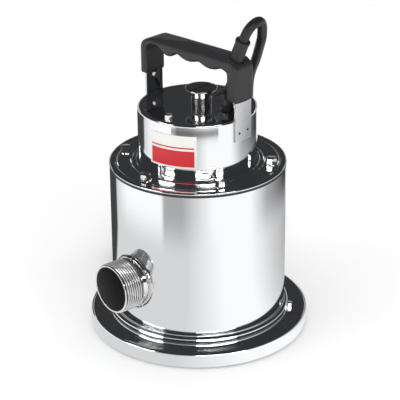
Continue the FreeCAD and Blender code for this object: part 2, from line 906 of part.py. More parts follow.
def tube(points, radius):
    """Round tube along straight runs joined by tangent arcs; returns it and its bend radii."""
    corners = [Vector(*p) for p in points]
    edges = []
    bends = []
    here = corners[0]
    for k in range(1, len(corners) - 1):
        back = corners[k - 1] - corners[k]
        ahead = corners[k + 1] - corners[k]
        run = min(back.Length, ahead.Length)
        reach = BEND_SHARE * run
        back.normalize()
        ahead.normalize()
        half_turn = (math.pi - back.getAngle(ahead)) / 2.0
        bend = reach / math.tan(half_turn)
        start = corners[k] + back * reach
        stop = corners[k] + ahead * reach
        bisector = (back + ahead).normalize()
        middle = corners[k] + bisector * (bend / math.cos(half_turn) - bend)
        edges.append(Part.LineSegment(here, start).toShape())
        edges.append(Part.Arc(start, middle, stop).toShape())
        bends.append(bend)
        here = stop
    edges.append(Part.LineSegment(here, corners[-1]).toShape())
    wire = Part.Wire(edges)
    heading = (corners[1] - corners[0]).normalize()
    profile = Part.Wire(Part.makeCircle(radius, corners[0], heading))
    body = wire.makePipeShell([profile], True, False)
    expected = math.pi * radius * radius * wire.Length
    print("tube length", round(wire.Length, 1), "volume ratio", round(body.Volume / expected, 4))
    print("bend radii", [round(b, 1) for b in bends])
    return body


def inner_lead():
    """Lead from the hollow leg down into the gland."""
    gland_top = can_top + gland_nut_bottom + gland_nut_height
    hollow_x = (leg_inner_x + leg_outer_x) / 2.0
    return tube([
        (gland_x, 0.0, can_ceiling - lead_inside),
        (gland_x, 0.0, gland_top + lead_rise_low),
        (gland_x + lead_sideways, 0.0, gland_top + lead_rise_middle),
        (hollow_x, 0.0, gland_top + lead_rise_high),
        (hollow_x, 0.0, can_top + leg_hollow_top - lead_end_gap),
    ], lead_radius)


def crown_solid():
    """Long prism whose rounded top gives the grip its crown."""
    half = handle_width / 2.0 + crown_overhang
    wire = rounded_wire([
        (-half, can_top, 0.0),
        (-half, can_top + crown_shoulder, crown_shoulder_radius),
        (0.0, can_top + crown_peak, crown_peak_radius),
        (half, can_top + crown_shoulder, crown_shoulder_radius),
        (half, can_top, 0.0),
    ])
    wire.rotate(Vector(0, 0, 0), Vector(0, 0, 1), 90.0)
    wire.translate(Vector(-shell_radius, 0, 0))
    return Part.Face(wire).extrude(Vector(2.0 * shell_radius, 0, 0))


def handle_grip():
    outline = rounded_wire([(x, can_top + height, radius) for x, height, radius in grip_outline])
    body = Part.Face(outline).extrude(Vector(0, handle_width, 0))
    body.translate(Vector(0, -handle_width / 2.0, 0))
    sides = [edge for edge in body.Edges if edge.BoundBox.YLength < 1e-3]
    body = body.makeFillet(handle_fillet, sides)
    body = body.common(crown_solid())
    return body.cut(leg_spaces() + strap_slots())


def leg_spaces():
    """Hollow of the right leg, the notch for the gland and the strain relief's hole."""
    half = handle_width / 2.0 - leg_wall
    bottom = can_top + leg_bottom
    hollow = box(
        (leg_inner_x + leg_wall, -half, bottom - PAST),
        (leg_outer_x - leg_wall, half, can_top + leg_hollow_top),
    )
    notch = box(
        (leg_inner_x - PAST, -half, bottom - PAST),
        (leg_inner_x + leg_wall + PAST, half, bottom + leg_notch_height),
    )
    return [hollow, notch, relief_cylinder(relief_radius + RUNNING_FIT, -relief_inside, relief_outside)]


def relief_axis():
    """Foot point of the strain relief on the handle's top, and its direction."""
    tilt = math.radians(relief_tilt)
    foot = Vector(relief_x, 0, can_top + handle_crown - relief_sink)
    return foot, Vector(math.sin(tilt), 0, math.cos(tilt))


def relief_cylinder(radius, start, stop):
    foot, heading = relief_axis()
    return Part.makeCylinder(radius, stop - start, foot + heading * start, heading)


def strap_arc(inner, bottom, top, width, angle):
    """Piece of a thin tube about the pump's axis, as wide as a strap."""
    half = width / 2.0
    piece = ring(inner, inner + strap_thickness, bottom, top)
    piece = piece.common(box((0.0, -half, bottom - PAST), (inner + strap_width, half, top + PAST)))
    piece.rotate(Vector(0, 0, 0), Vector(0, 0, 1), angle)
    return piece


def handle_strap_left():
    inner = can_radius + SEAT_GAP
    top = can_top + block_bottom + strap_in_block
    return strap_arc(inner, can_top - strap_below_top, top, strap_width, 180.0)


def handle_strap_right():
    """Strap that steps inwards below the leg and ends inside its hollow."""
    inner = can_radius + SEAT_GAP
    leg_z = can_top + leg_bottom
    outside = strap_arc(inner, can_top - strap_below_top, leg_z - SLIP, strap_width, 0.0)
    inner_top = leg_z + strap_in_leg
    step_bottom = leg_z - SLIP - strap_step_height
    inside = strap_arc(inner - strap_step, step_bottom, inner_top, strap_width - 2.0 * strap_inset, 0.0)
    bridge = ring(inner - strap_step, inner + strap_thickness, step_bottom, leg_z - SLIP)
    half = strap_width / 2.0 - strap_inset
    bridge = bridge.common(box((0.0, -half, 0.0), (inner + strap_width, half, leg_z + PAST)))
    return outside.fuse([inside, bridge]).removeSplitter()


def strap_slots():
    """Slot in the left block for its strap, with a small clearance."""
    inner = can_radius + SEAT_GAP - SEAT_GAP / 2.0
    bottom = can_top + block_bottom - PAST
    top = can_top + block_bottom + strap_in_block + SEAT_GAP
    half = strap_width / 2.0 + SEAT_GAP
    slot = ring(inner, inner + strap_thickness + SEAT_GAP, bottom, top)
    slot = slot.common(box((-inner - strap_width, -half, bottom - PAST), (0.0, half, top + PAST)))
    return [slot]


def handle_rivets():
    """Rivet head on the left strap's inner face, below the block."""
    strap_inner = can_radius + SEAT_GAP
    middle = can_top + block_bottom - rivet_drop
    start = Vector(-strap_inner - rivet_head_height, rivet_offset, middle)
    head = Part.makeCylinder(rivet_head_radius, 2.0 * rivet_head_height, start, Vector(1, 0, 0))
    return head.common(cylinder(strap_inner, can_top, middle + block_bottom))


def strain_relief():
    length = relief_inside + relief_outside
    collar = relief_collar_height
    body = turned([
        (cord_radius + SEAT_GAP, 0.0, 0.0),
        (relief_radius, 0.0, 0.6),
        (relief_tip_radius, length - collar, 0.0),
        (relief_collar_radius, length - collar, 0.4),
        (relief_collar_radius, length, 0.6),
        (cord_radius + SEAT_GAP, length, 0.0),
    ])
    foot, heading = relief_axis()
    body.rotate(Vector(0, 0, 0), Vector(0, 1, 0), relief_tilt)
    body.translate(foot - heading * relief_inside)
    return body


def cord_start():
    foot, heading = relief_axis()
    tip = foot + heading * (relief_outside - 2.0 * cord_radius)
    return tip.x, tip.y, tip.z


def coil_point(half_turns, radius, level):
    angle = math.radians(coil_start + 180.0 * half_turns)
    return Vector(coil_x + radius * math.cos(angle), coil_y + radius * math.sin(angle), level)


def coil_state(half_turns):
    """Centre line point and heading of the coil after a number of half turns."""
    low = coil_lift + cord_radius
    step = coil_pitch / 2.0
    inner = coil_outer - step * coil_half_turns
    if half_turns <= coil_half_turns:
        radius = coil_outer - step * half_turns
        slope = -step
        level = low
        climb = 0.0
    elif half_turns <= coil_half_turns + 1:
        share = half_turns - coil_half_turns
        radius = inner - step * math.sin(math.pi * share) / math.pi
        slope = -step * math.cos(math.pi * share)
        level = low + coil_pitch * (1.0 - math.cos(math.pi * share)) / 2.0
        climb = coil_pitch * math.pi * math.sin(math.pi * share) / 2.0
    else:
        radius = inner + step * (half_turns - coil_half_turns - 1)
        slope = step
        level = low + coil_pitch
        climb = 0.0
    angle = math.radians(coil_start + 180.0 * half_turns)
    outward = Vector(math.cos(angle), math.sin(angle), 0)
    forward = Vector(-math.sin(angle), math.cos(angle), 0)
    heading = outward * slope + forward * (math.pi * radius) + Vector(0, 0, climb)
    return coil_point(half_turns, radius, level), heading.normalize()


def biarc(start, heading, stop, arrival):
    """Two tangent arcs between two points with given headings."""
    chord = stop - start
    both = heading + arrival
    spread = 2.0 * (1.0 - heading.dot(arrival))
    along = chord.dot(both)
    reach = (math.sqrt(along * along + spread * chord.dot(chord)) - along) / spread
    first = start + heading * reach
    second = stop - arrival * reach
    joint = (first + second) * 0.5
    arcs = []
    for low, corner, high in ((start, first, joint), (joint, second, stop)):
        half = (corner - low).getAngle(high - low)
        weight = math.cos(half)
        middle = (low + corner * (2.0 * weight) + high) * (1.0 / (2.0 + 2.0 * weight))
        arcs.append(Part.Arc(low, middle, high).toShape())
    return arcs


def coil_total():
    return 2 * coil_half_turns + 1


def cord_coil():
    """Put-away length: one unbroken tube wound inwards, up a layer and out again."""
    edges = []
    quarters = 2 * coil_total()
    for k in range(quarters):
        start, heading = coil_state(k / 2.0)
        stop, arrival = coil_state((k + 1) / 2.0)
        edges += biarc(start, heading, stop, arrival)
    wire = Part.Wire(edges)
    start, heading = coil_state(0.0)
    profile = Part.Wire(Part.makeCircle(cord_radius, start, heading))
    body = wire.makePipeShell([profile], True, False)
    expected = math.pi * cord_radius ** 2 * wire.Length
    print("coil length", round(wire.Length, 1), "volume ratio", round(body.Volume / expected, 4))
    print("coil's least gap to itself", round(coil_gap(), 2))
    return body


def coil_gap():
    """Least clear distance between parts of the coil over a third of a turn apart."""
    steps = 48
    points = [coil_state(k / steps)[0] for k in range(coil_total() * steps + 1)]
    least = coil_outer
    for i in range(0, len(points), 4):
        for j in range(i + steps * 2 // 3, len(points)):
            least = min(least, points[i].distanceToPoint(points[j]))
    return least - 2.0 * cord_radius


def power_cord():
    start, heading = coil_state(0.0)
    route = [cord_start()] + cord_route + [tuple(start)]
    return tube(route, cord_radius)


def cord_tie():
    """Band around the coil's bundle, on its far side."""
    inner = coil_outer - coil_pitch * coil_half_turns / 2.0 - cord_radius
    outer = coil_outer + cord_radius
    top = coil_lift + 4.0 * cord_radius + (coil_pitch - 2.0 * cord_radius)
    gap = coil_lift - tie_thickness
    half = tie_width / 2.0
    wrap = gap + tie_thickness
    frame = box((inner - wrap, -half, 0.0), (outer + wrap, half, top + wrap))
    room = box((inner - gap, -half - PAST, tie_thickness), (outer + gap, half + PAST, top + gap))
    band = frame.cut(room)
    band.rotate(Vector(0, 0, 0), Vector(0, 0, 1), coil_start + 90.0)
    band.translate(Vector(coil_x, coil_y, 0))
    return band


def tail_frame():
    """Start of the plug and the direction in which its blades point."""
    end, heading = coil_state(coil_total())
    heading = Vector(heading.x, heading.y, 0).normalize()
    nose = end + heading * tail_length
    return end, nose, heading


def cord_tail():
    end, nose, heading = tail_frame()
    return tube([tuple(end), tuple(nose)], cord_radius)


def place_plug(shape):
    """Move a piece of the plug, built along +X, to the cord's end."""
    end, nose, heading = tail_frame()
    shape.rotate(Vector(0, 0, 0), Vector(0, 0, 1), math.degrees(math.atan2(heading.y, heading.x)))
    shape.translate(nose)
    return shape


def rounded_rectangle(x, width, height, corner):
    """Closed wire across the plug's axis."""
    points = []
    for u, v in ((-1, -1), (1, -1), (1, 1), (-1, 1)):
        points.append((u * width / 2.0, v * height / 2.0, corner))
    wire = rounded_wire(points)
    wire.rotate(Vector(0, 0, 0), Vector(0, 0, 1), 90.0)
    wire.translate(Vector(x, 0, 0))
    return wire


def plug_body():
    """Moulded body: ribless relief, waisted grip and full face."""
    thin = cord_radius + plug_relief_wall
    thick = cord_radius + plug_relief_flare
    relief = Part.makeCone(thin, thick, plug_relief_length, Vector(0, 0, 0), Vector(1, 0, 0))
    sections = []
    for along, wide, tall in plug_sections:
        x = plug_relief_length + plug_body_length * along
        sections.append(rounded_rectangle(x, plug_width * wide, plug_height * tall, plug_corner))
    body = Part.makeLoft(sections, True, True)
    body = body.fuse(relief).removeSplitter()
    return place_plug(body)


def plug_blades():
    face = plug_relief_length + plug_body_length
    level = blade_drop - pin_below_centre
    blades = []
    for side in (-0.5, 0.5):
        y = side * blade_spacing
        blades.append(box(
            (face, y - blade_thickness / 2.0, level - blade_width / 2.0),
            (face + blade_length, y + blade_thickness / 2.0, level + blade_width / 2.0),
        ))
    return place_plug(Part.makeCompound(blades))


def plug_ground_pin():
    face = plug_relief_length + plug_body_length
    start = Vector(face, 0, -pin_below_centre)
    return place_plug(Part.makeCylinder(pin_radius, pin_length, start, Vector(1, 0, 0)))


def bleed_screw():
    x, y = polar(bleed_circle, bleed_angle)
    seat = can_top + bleed_washer_thickness
    screw = cylinder(bleed_washer_radius, can_top, seat, x, y)
    screw = screw.fuse(hexagon(bleed_flats, seat, seat + bleed_head, x, y, bleed_angle))
    return screw.fuse(cylinder(bleed_radius, can_top - bleed_length, seat, x, y)).removeSplitter()


def name_label():
    """Sticker wrapped on the can."""
    inner = can_radius + RUNNING_FIT
    sheet = ring(inner, inner + label_thickness, label_bottom, label_top)
    sweep = label_to - label_from
    reach = inner + 2.0 * label_thickness
    wedge = Part.makeCylinder(reach, label_height, Vector(0, 0, label_bottom), Vector(0, 0, 1), sweep)
    wedge.rotate(Vector(0, 0, 0), Vector(0, 0, 1), label_from)
    return sheet.common(wedge)


def build():
    os.makedirs("parts", exist_ok=True)
    pieces = [
        base_pan, strainer_plate, rubber_feet, base_screws, intake_plate, pump_casing, impeller, impeller_key,
        impeller_nut, motor_shaft, rotor_core, rotor_end_rings, bearing_housing, seal_seat, seal_ring,
        stator_core, upper_bracket, capacitor, capacitor_strap, motor_can, outer_shell, discharge_nipple,
        nipple_weld, shell_top_ring, lid_gasket, shoulder_lid, lid_bolts, lid_washers, filler_neck, filler_plug,
        gland_body, gland_nut, gland_grommet, inner_lead, handle_grip, handle_strap_left, handle_strap_right,
        handle_rivets, strain_relief, power_cord, cord_coil, cord_tie, cord_tail, plug_body, plug_blades,
        plug_ground_pin, bleed_screw, name_label,
    ]
    for piece in pieces:
        save(piece.__name__, piece())
    save("housing_oring", oring(0.0))
    save("winding_lower", winding(stack_bottom - winding_height, stack_bottom))
    save("winding_upper", winding(stack_top, stack_top + winding_height))
    outer, inner, balls = bearing(
        lower_race_radius, lower_bore_radius, lower_bearing_width, lower_bearing_bottom, lower_ball_count)
    save("lower_bearing_outer", outer)
    save("lower_bearing_inner", inner)
    save("lower_bearing_balls", balls)
    outer, inner, balls = bearing(
        upper_race_radius, upper_bore_radius, upper_bearing_width, upper_bearing_bottom, upper_ball_count)
    save("upper_bearing_outer", outer)
    save("upper_bearing_inner", inner)
    save("upper_bearing_balls", balls)


build()
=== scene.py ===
import json
import math

import bmesh
import bpy
from mathutils import Matrix, Vector


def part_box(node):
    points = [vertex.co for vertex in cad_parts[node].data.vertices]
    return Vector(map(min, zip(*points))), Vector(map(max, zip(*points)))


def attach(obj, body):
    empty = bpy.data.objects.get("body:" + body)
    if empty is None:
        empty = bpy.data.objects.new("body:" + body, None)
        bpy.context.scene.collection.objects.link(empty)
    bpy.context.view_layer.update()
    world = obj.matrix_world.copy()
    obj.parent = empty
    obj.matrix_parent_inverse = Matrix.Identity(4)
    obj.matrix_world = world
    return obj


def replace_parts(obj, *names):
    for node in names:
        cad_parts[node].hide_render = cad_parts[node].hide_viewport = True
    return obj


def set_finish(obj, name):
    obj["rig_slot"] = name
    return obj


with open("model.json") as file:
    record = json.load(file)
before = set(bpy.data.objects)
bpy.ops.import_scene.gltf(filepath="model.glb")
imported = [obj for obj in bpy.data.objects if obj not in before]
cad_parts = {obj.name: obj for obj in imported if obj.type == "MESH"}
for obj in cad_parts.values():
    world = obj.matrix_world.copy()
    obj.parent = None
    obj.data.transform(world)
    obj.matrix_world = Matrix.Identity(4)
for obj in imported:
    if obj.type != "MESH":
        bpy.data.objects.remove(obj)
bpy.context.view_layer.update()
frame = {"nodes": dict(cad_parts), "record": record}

# Submersible sump pump, dressed. The shapes are given in millimetres and become metres in the
# helpers. The lights, and the cards around the pump, are in metres.
MM = 0.001

# Main measures, the same as in the solids.
PAN_R = 93.0
PAN_TOP = 14.4
PAN_EDGE = 2.0
SHELL_R = 73.5
SHELL_WALL = 1.2
SHELL_TOP = 145.6
LID_BOTTOM = 146.4
LID_TOP = 148.5
CAN_R = 49.4
CAN_FOOT = 42.0
CAN_FOOT_R = 57.0
CAN_TOP = 196.8
SHEET = 1.5
OUTLET_TURN = math.radians(-96.0)
OUTLET_HEIGHT = 58.6
OUTLET_BORE_R = 19.0
OUTLET_PIPE_R = 20.5
OUTLET_THREAD_R = 21.08
OUTLET_END = 95.5
OUTLET_PLACE = (Matrix.Translation((0, 0, OUTLET_HEIGHT * MM))
                @ Matrix.Rotation(OUTLET_TURN, 4, "Z"))


def camera():
    """Camera fitted to the photograph, as a full matrix."""
    lens = 139.03
    pitch = 0.423602
    turn = math.radians(43.0)
    roll = -0.007761
    target = Vector((1.111, 1.036, 109.934)) * MM
    distance = 1.3
    data = bpy.data.cameras.new("view")
    data.lens = lens
    data.sensor_width = 36.0
    cam = bpy.data.objects.new("view", data)
    bpy.context.scene.collection.objects.link(cam)
    ahead = Vector((-math.sin(turn) * math.cos(pitch), math.cos(turn) * math.cos(pitch),
                    -math.sin(pitch)))
    across = ahead.cross(Vector((0, 0, 1))).normalized()
    above = across.cross(ahead)
    right = across * math.cos(roll) + above * math.sin(roll)
    up = above * math.cos(roll) - across * math.sin(roll)
    eye = target - ahead * distance
    cam.matrix_world = Matrix((
        (right.x, up.x, -ahead.x, eye.x),
        (right.y, up.y, -ahead.y, eye.y),
        (right.z, up.z, -ahead.z, eye.z),
        (0, 0, 0, 1),
    ))
    bpy.context.scene.camera = cam


# Materials
BROAD = 0.07           # scale of the slow change of shade, as a share of the fine grain's
BUMP_DEPTH = 0.0002    # metres


def material(name, colour, metallic, rough, spread, shade, grain, bump, stretch=(1, 1, 1)):
    """Surface with fine relief, uneven gloss and a slight change of shade, all from noise."""
    mat = bpy.data.materials.new(name)
    mat.use_nodes = True
    tree = mat.node_tree
    bsdf = tree.nodes["Principled BSDF"]
    bsdf.inputs["Metallic"].default_value = metallic
    place = tree.nodes.new("ShaderNodeTexCoord")
    scale = tree.nodes.new("ShaderNodeMapping")
    scale.inputs["Scale"].default_value = stretch
    tree.links.new(place.outputs["Object"], scale.inputs["Vector"])

    def noise(size, detail):
        node = tree.nodes.new("ShaderNodeTexNoise")
        node.inputs["Scale"].default_value = size
        node.inputs["Detail"].default_value = detail
        tree.links.new(scale.outputs["Vector"], node.inputs["Vector"])
        return node

    fine = noise(grain, 4.0)
    broad = noise(grain * BROAD, 3.0)
    ramp = tree.nodes.new("ShaderNodeValToRGB")
    dark, pale = ramp.color_ramp.elements
    dark.position, pale.position = 0.3, 0.7
    dark.color = [c * (1.0 - shade) for c in colour] + [1.0]
    pale.color = [min(1.0, c * (1.0 + shade)) for c in colour] + [1.0]
    tree.links.new(broad.outputs["Fac"], ramp.inputs["Fac"])
    tree.links.new(ramp.outputs["Color"], bsdf.inputs["Base Color"])
    gloss = tree.nodes.new("ShaderNodeMapRange")
    gloss.inputs["To Min"].default_value = max(0.01, rough - spread)
    gloss.inputs["To Max"].default_value = min(1.0, rough + spread)
    tree.links.new(fine.outputs["Fac"], gloss.inputs["Value"])
    tree.links.new(gloss.outputs["Result"], bsdf.inputs["Roughness"])
    relief = tree.nodes.new("ShaderNodeBump")
    relief.inputs["Strength"].default_value = bump
    relief.inputs["Distance"].default_value = BUMP_DEPTH
    tree.links.new(fine.outputs["Fac"], relief.inputs["Height"])
    tree.links.new(relief.outputs["Normal"], bsdf.inputs["Normal"])
    return mat


# Each row: colour, metallic, roughness, its spread, change of shade, grain, relief, stretch.
LOOKS = {
    "polished_steel": ((0.86, 0.87, 0.88), 1.0, 0.07, 0.03, 0.02, 60.0, 0.03, (1, 1, 0.15)),
    "fastener_steel": ((0.8, 0.8, 0.8), 1.0, 0.16, 0.06, 0.05, 700.0, 0.05),
    "outlet_steel": ((0.84, 0.84, 0.83), 1.0, 0.13, 0.05, 0.05, 500.0, 0.06),
    "weld_steel": ((0.66, 0.65, 0.64), 1.0, 0.2, 0.08, 0.15, 400.0, 0.15),
    "strap_steel": ((0.7, 0.71, 0.72), 1.0, 0.3, 0.06, 0.05, 600.0, 0.08, (1, 1, 0.1)),
    "thread_crest": ((0.82, 0.82, 0.82), 0.7, 0.22, 0.06, 0.05, 500.0, 0.06),
    # Darker copy of the fastener steel: painted shade for the dark reflections on the filler neck
    # and plug.
    "neck_steel_painted_dark": ((0.42, 0.42, 0.42), 1.0, 0.14, 0.05, 0.08, 700.0, 0.05),
    # Left strap: smoother than strap steel, and darker in colour as painted shade.
    "strap_polished_painted_dark": ((0.6, 0.61, 0.62), 1.0, 0.1, 0.04, 0.05, 600.0, 0.03, (1, 1, 0.1)),
    "black_grip": ((0.022, 0.022, 0.024), 0.0, 0.42, 0.06, 0.1, 1400.0, 0.25),
    "gland_black": ((0.016, 0.016, 0.018), 0.0, 0.3, 0.06, 0.1, 900.0, 0.1),
    "cord_black": ((0.012, 0.012, 0.013), 0.0, 0.42, 0.08, 0.15, 1200.0, 0.15),
    "soft_black": ((0.02, 0.02, 0.021), 0.0, 0.55, 0.08, 0.15, 1100.0, 0.2),
    "label_white": ((0.84, 0.83, 0.79), 0.0, 0.5, 0.05, 0.02, 800.0, 0.02),
    "label_red": ((0.63, 0.018, 0.028), 0.0, 0.45, 0.05, 0.04, 800.0, 0.02),
    "cast_grey": ((0.2, 0.2, 0.21), 0.0, 0.6, 0.1, 0.12, 500.0, 0.4),
    "impeller_black": ((0.05, 0.05, 0.055), 0.0, 0.4, 0.08, 0.1, 700.0, 0.1),
    "shaft_steel": ((0.65, 0.65, 0.67), 1.0, 0.2, 0.05, 0.03, 900.0, 0.03, (1, 1, 6)),
    "core_steel": ((0.35, 0.35, 0.37), 1.0, 0.45, 0.08, 0.1, 300.0, 0.3, (0.1, 0.1, 6)),
    "copper": ((0.7, 0.28, 0.12), 1.0, 0.3, 0.08, 0.2, 250.0, 0.6),
    "end_ring_aluminium": ((0.8, 0.8, 0.8), 1.0, 0.4, 0.08, 0.06, 400.0, 0.2),
    "seal_carbon": ((0.05, 0.05, 0.055), 0.0, 0.3, 0.05, 0.1, 900.0, 0.05),
    "seal_ceramic": ((0.85, 0.84, 0.8), 0.0, 0.2, 0.05, 0.02, 900.0, 0.02),
    "capacitor_white": ((0.85, 0.85, 0.83), 0.0, 0.3, 0.05, 0.03, 600.0, 0.05),
    # Dark steel: painted shade in the outlet's bore and thread roots, and the real dark marks of the
    # strap's spot welds.
    "weld_mark_and_painted_shade": ((0.03, 0.03, 0.031), 0.0, 0.6, 0.08, 0.2, 500.0, 0.1),
    "plug_brass": ((0.8, 0.6, 0.28), 1.0, 0.22, 0.05, 0.06, 700.0, 0.05),
}
MATERIALS = {name: material(name, *look) for name, look in LOOKS.items()}

# The record's slot for a look that has another name there.
RECORD_SLOTS = {"label_white": "label_red_white", "weld_mark_and_painted_shade": "strap_steel"}

# Nodes of the frame whose look isn't the one that their slot names.
NODE_LOOKS = {
    # The left strap takes the smoother strap steel, whose darker colour is painted shade.
    "handle_strap_left": "strap_polished_painted_dark",
    # The plug takes the darker steel, painted shade.
    "filler_plug": "neck_steel_painted_dark",
    "name_label": "label_white",
}


# Mesh helpers
MERGE = 1e-7    # metres


def rounded(corners, steps=8):
    """Closed outline through (u, v, radius) corners, as a list of points."""
    points = []
    for k, (u, v, radius) in enumerate(corners):
        corner = Vector((u, v))
        if radius <= 0.0:
            points.append(corner)
            continue
        back = (Vector(corners[k - 1][:2]) - corner).normalized()
        ahead = (Vector(corners[(k + 1) % len(corners)][:2]) - corner).normalized()
        half = back.angle(ahead) / 2.0
        reach = radius / math.tan(half)
        centre = corner + (back + ahead).normalized() * (radius / math.sin(half))
        first = corner + back * reach - centre
        last = corner + ahead * reach - centre
        sweep = first.angle_signed(last)
        for s in range(steps + 1):
            points.append(centre + Matrix.Rotation(-sweep * s / steps, 2) @ first)
    return points


def piece(name, loops, slot, place=None, sharp=32.0):
    """Closed ring of equal closed loops of points; edges sharper than the limit stay crisp."""
    mesh = bpy.data.meshes.new(name)
    bm = bmesh.new()
    rows = [[bm.verts.new(Vector(p) * MM) for p in loop] for loop in loops]
    count = len(rows[0])
    for i, a in enumerate(rows):
        b = rows[(i + 1) % len(rows)]
        for j in range(count):
            bm.faces.new((a[j], a[(j + 1) % count], b[(j + 1) % count], b[j]))
    bmesh.ops.remove_doubles(bm, verts=bm.verts, dist=MERGE)
    bmesh.ops.dissolve_degenerate(bm, edges=bm.edges, dist=MERGE)
    bmesh.ops.recalc_face_normals(bm, faces=bm.faces)
    limit = math.radians(sharp)
    for face in bm.faces:
        face.smooth = True
    for edge in bm.edges:
        if len(edge.link_faces) == 2 and edge.calc_face_angle(0.0) > limit:
            edge.smooth = False
    if place is not None:
        bm.transform(place)
    bm.to_mesh(mesh)
    bm.free()
    return dress(name, mesh, slot)


def dress(name, mesh, slot):
    """Object on the pump's body for a finished mesh, with its look and its slot in the record."""
    obj = bpy.data.objects.new(name, mesh)
    bpy.context.scene.collection.objects.link(obj)
    if not mesh.materials:
        mesh.materials.append(MATERIALS[slot])
    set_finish(obj, RECORD_SLOTS.get(slot, slot))
    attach(obj, "pump")
    return obj


def turned(name, outline, slot, centre=(0.0, 0.0), segments=288):
    """Piece turned about an upright axis from a closed outline of (radius, height)."""
    loops = []
    for k in range(segments):
        angle = 2.0 * math.pi * k / segments
        c, s = math.cos(angle), math.sin(angle)
        loops.append([(centre[0] + r * c, centre[1] + r * s, z) for r, z in outline])
    return piece(name, loops, slot)


def join(name, parts):
    """One object out of several of the same look."""
    bm = bmesh.new()
    for part in parts:
        bm.from_mesh(part.data)
    mesh = bpy.data.meshes.new(name)
    for mat in parts[0].data.materials:
        mesh.materials.append(mat)
    bm.to_mesh(mesh)
    bm.free()
    slot = parts[0]["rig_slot"]
    for part in parts:
        bpy.data.objects.remove(part)
    return dress(name, mesh, slot)


# The cord: its way from the strain relief down to the floor, and the tied coil behind the pump
RELIEF_FOOT = Vector((43.2, 0.0, CAN_TOP + 49.8))
RELIEF_TILT = math.radians(23.2)
RELIEF_AXIS = Vector((math.sin(RELIEF_TILT), 0.0, math.cos(RELIEF_TILT)))
RELIEF_LENGTH = 16.3
CORD_INSIDE = 2.0       # how far the cord starts inside the strain relief
CORD_R = 4.0
ROUTE = [
    (52.54, 0.0, 268.4), (54.7, 4.8, 274.2), (54.8, 12.6, 275.8), (52.8, 19.0, 271.6),
    (48.8, 23.6, 258.6), (39.2, 31.8, 247.0), (24.8, 44.6, 229.7), (7.2, 57.4, 209.8),
    (-5.4, 69.4, 188.4), (-14.0, 80.6, 163.0), (-19.0, 90.0, 136.0), (-21.5, 97.4, 104.0),
    (-27.0, 106.8, 69.6), (-33.0, 117.2, 35.6), (-38.9, 130.0, 16.2), (-52.0, 146.6, 4.9),
]
COIL_CENTRE = (-126.0, 135.0)
COIL_R = 62.0           # middle of the outermost turn
COIL_PITCH = 8.6        # from turn to turn, and from the lower layer to the upper one
COIL_LEVEL = 4.9        # middle of the lower layer
COIL_START = 43.0       # degrees
COIL_HALF_TURNS = 9     # in each layer
COIL_STEPS = 8          # points in a half turn
PLUG_HEADING = Vector((0.7137, -0.7004, 0.0))
PLUG_REACH = (9.0, 18.0, 24.0)


def coil_point(half_turns):
    """Centre line of the tied coil: wound inwards, up a layer, and out again."""
    step = COIL_PITCH / 2.0
    inner = COIL_R - step * COIL_HALF_TURNS
    upper = COIL_LEVEL + COIL_PITCH
    if half_turns <= COIL_HALF_TURNS:
        radius, level = COIL_R - step * half_turns, COIL_LEVEL
    elif half_turns <= COIL_HALF_TURNS + 1:
        bend = math.pi * (half_turns - COIL_HALF_TURNS)
        radius = inner - step * math.sin(bend) / math.pi
        level = COIL_LEVEL + COIL_PITCH * (1.0 - math.cos(bend)) / 2.0
    else:
        radius, level = inner + step * (half_turns - COIL_HALF_TURNS - 1), upper
    angle = math.radians(COIL_START + 180.0 * half_turns)
    return (COIL_CENTRE[0] + radius * math.cos(angle), COIL_CENTRE[1] + radius * math.sin(angle),
            level)


def mains_cord():
    """The whole free cord as one spline, from the strain relief to the plug."""
    tip = RELIEF_FOOT + RELIEF_AXIS * RELIEF_LENGTH
    points = [tuple(tip - RELIEF_AXIS * CORD_INSIDE)] + ROUTE
    last = (2 * COIL_HALF_TURNS + 1) * COIL_STEPS
    points += [coil_point(k / COIL_STEPS) for k in range(last + 1)]
    end = Vector(points[-1])
    points += [tuple(end + PLUG_HEADING * reach) for reach in PLUG_REACH]
    curve = bpy.data.curves.new("mains_cord", "CURVE")
    curve.dimensions = "3D"
    curve.bevel_depth = CORD_R * MM
    curve.bevel_resolution = 6
    curve.resolution_u = 8
    curve.use_fill_caps = True
    spline = curve.splines.new("NURBS")
    spline.points.add(len(points) - 1)
    for point, place in zip(spline.points, points):
        point.co = (place[0] * MM, place[1] * MM, place[2] * MM, 1.0)
    spline.order_u = 3
    spline.use_endpoint_u = True
    curve.materials.append(MATERIALS["cord_black"])
    obj = bpy.data.objects.new("mains_cord", curve)
    bpy.context.scene.collection.objects.link(obj)
    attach(obj, "pump")
    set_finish(obj, "cord_black")
    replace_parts(obj, "power_cord", "cord_coil", "cord_tail")


# Sheet-metal pieces. An extra point on a straight run beside a rounding keeps the run's shading
# flat.
def jacket():
    """Outer wall, with the bead around its foot."""
    bead_r = SHELL_R + 3.2
    bead_top = PAN_TOP + 5.0
    obj = turned("jacket", rounded([
        (SHELL_R - SHELL_WALL, PAN_TOP, 0.0),
        (bead_r, PAN_TOP, 1.4),
        (bead_r, bead_top, 1.8),
        (SHELL_R, bead_top, 0.6),
        (SHELL_R, bead_top + 1.2, 0.0),
        (SHELL_R, SHELL_TOP, 0.0),
        (SHELL_R - SHELL_WALL, SHELL_TOP, 0.0),
    ]), "polished_steel")
    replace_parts(obj, "outer_shell")


def lid():
    """Ring on the jacket, with a rounded rim, two grooves and a collar around the can."""
    rim = SHELL_R + 0.4
    hole = CAN_R + 0.2
    collar_top = LID_TOP + 0.9
    obj = turned("lid", rounded([
        (hole, LID_BOTTOM, 0.0),
        (rim, LID_BOTTOM, 0.6),
        (rim, LID_TOP, 1.4),
        (69.0, LID_TOP, 0.5),
        (67.8, LID_TOP - 0.9, 0.9),
        (66.6, LID_TOP, 0.5),
        (56.2, LID_TOP, 0.5),
        (55.2, LID_TOP - 0.5, 0.6),
        (54.2, LID_TOP, 0.5),
        (51.6, LID_TOP, 0.5),
        (51.2, collar_top, 0.4),
        (hole, collar_top, 0.0),
    ]), "polished_steel")
    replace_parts(obj, "shoulder_lid")


